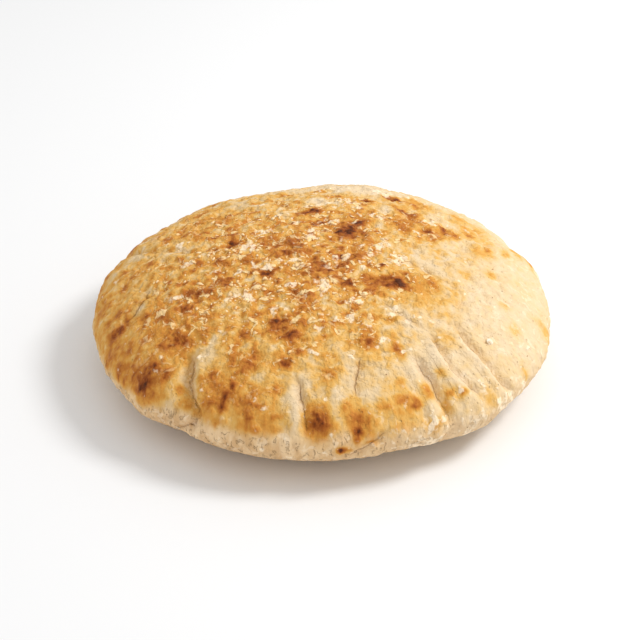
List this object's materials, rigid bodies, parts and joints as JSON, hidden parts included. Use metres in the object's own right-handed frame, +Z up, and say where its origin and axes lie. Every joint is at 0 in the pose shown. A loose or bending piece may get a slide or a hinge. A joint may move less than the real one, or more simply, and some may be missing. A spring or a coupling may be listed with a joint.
{
  "type": "pita bread",
  "caption": "Puffed round of pocket flatbread with a low domed top, soft rim, radial folds near the edge, and an unevenly toasted, spotted crust.",
  "frame": {"origin": "Middle of the flat patch that the loaf rests on, under the middle of its outline.", "axes": "+Z up through the crown, +X to the pale, lightly toasted side, -Y to the front, where most of the folds are."},
  "size_m": [0.1704, 0.1684, 0.0471],
  "materials": {
    "crust": "matte",
    "flour": "matte",
    "bran": "matte",
    "crumb": "matte"
  },
  "bodies": {
    "root": {"pita_bread": "crust"}
  },
  "joints": []
}
